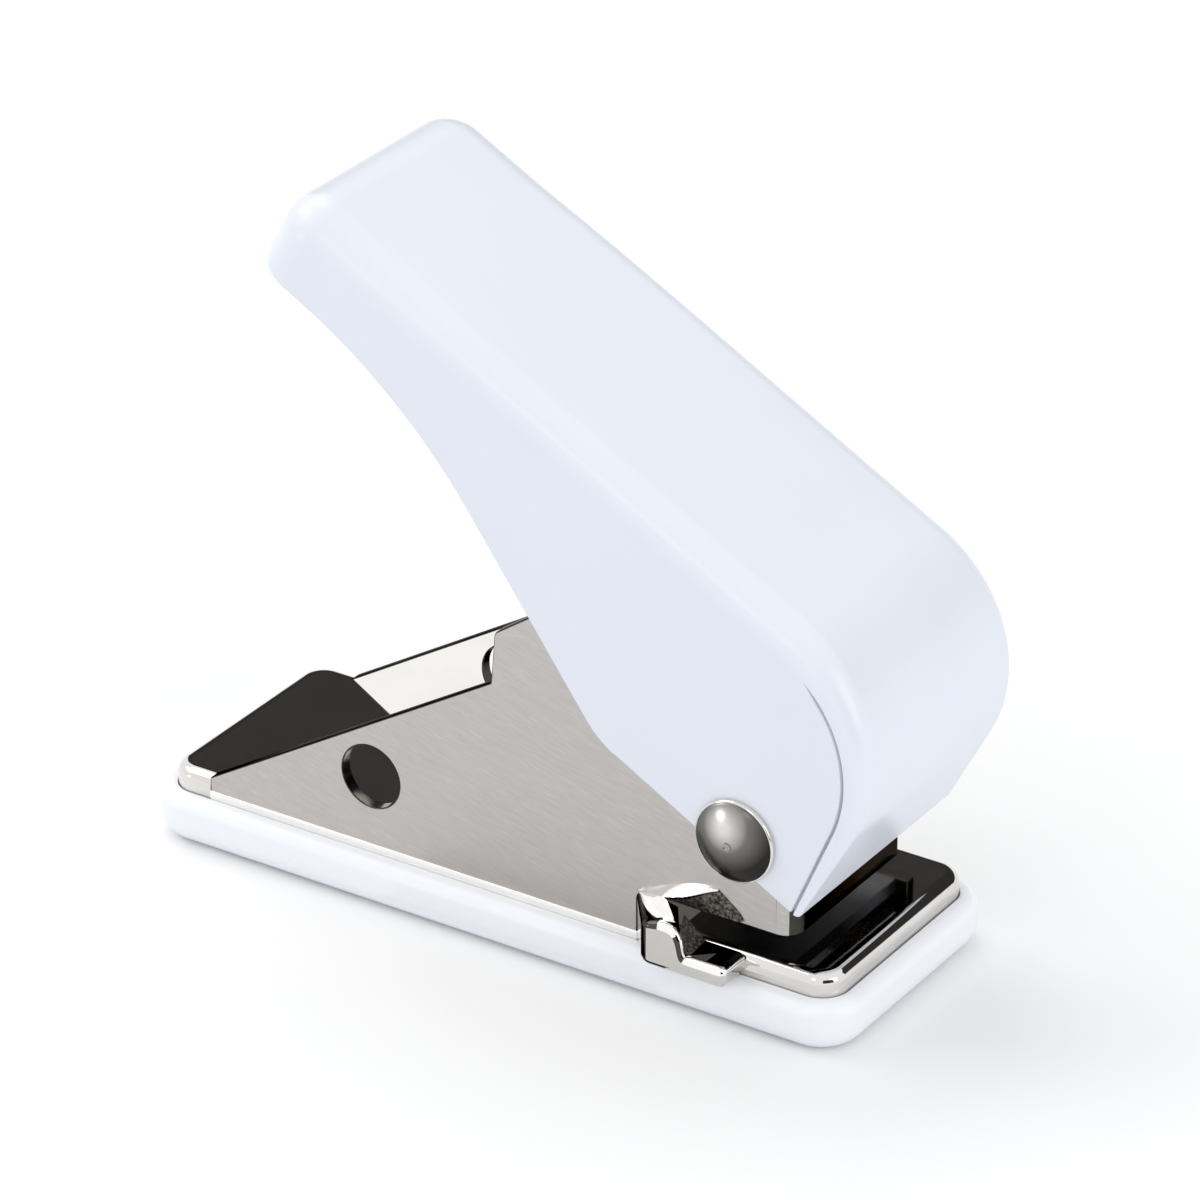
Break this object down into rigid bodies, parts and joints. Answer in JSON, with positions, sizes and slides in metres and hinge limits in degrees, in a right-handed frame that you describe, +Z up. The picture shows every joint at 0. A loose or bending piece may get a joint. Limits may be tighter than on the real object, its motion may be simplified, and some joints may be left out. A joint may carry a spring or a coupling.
{
  "type": "dart flight punch",
  "caption": "Small desk lever punch: white handle riveted between plated steel walls with an open throat, a side guide for a dart flight, a spring-loaded punch and a white base cover.",
  "frame": {"origin": "middle of the base cover's underside, on the table", "axes": "+X towards the mouth and pivot, +Y to the far side, away from the flight guide, +Z up"},
  "size_m": [0.0929, 0.0368, 0.0821],
  "materials": {
    "white_plastic": "glossy moulded white",
    "brushed_nickel": "nickel plate, brushed outside and bright inside",
    "mirror_nickel": "bright nickel plate",
    "plain_steel": "plain pressed steel",
    "tool_steel": "ground tool steel",
    "spring_steel": "drawn wire",
    "white_enamel": "glossy white enamel"
  },
  "bodies": {
    "base": {"base_cover": "white_plastic", "deck": "mirror_nickel", "near_wall": "brushed_nickel", "far_wall": "brushed_nickel", "flight_guide": "mirror_nickel", "guide_bridge": "plain_steel", "pivot_rivet": "mirror_nickel", "rivet_cap": "mirror_nickel", "return_spring": "spring_steel"},
    "lever": {"handle": "white_enamel", "drive_cam": "plain_steel"},
    "punch": {"punch_pin": "tool_steel"}
  },
  "joints": [
    {"name": "handle_press", "type": "hinge", "parent": "base", "child": "lever", "pos_m": [0.0323, 0, 0.0233], "axis": [0, -1, 0], "range_deg": [0, 40], "stiffness_Nm_per_rad": 0.08, "springref_deg": -34.38},
    {"name": "punch_slide", "type": "slide", "parent": "base", "child": "punch", "axis": [0, 0, -1], "range_m": [0, 0.00454], "deforming": ["return_spring"]}
  ],
  "couplings": [
    {"joint": "punch_slide", "follows": "handle_press", "m_per_rad": 0.0065}
  ]
}
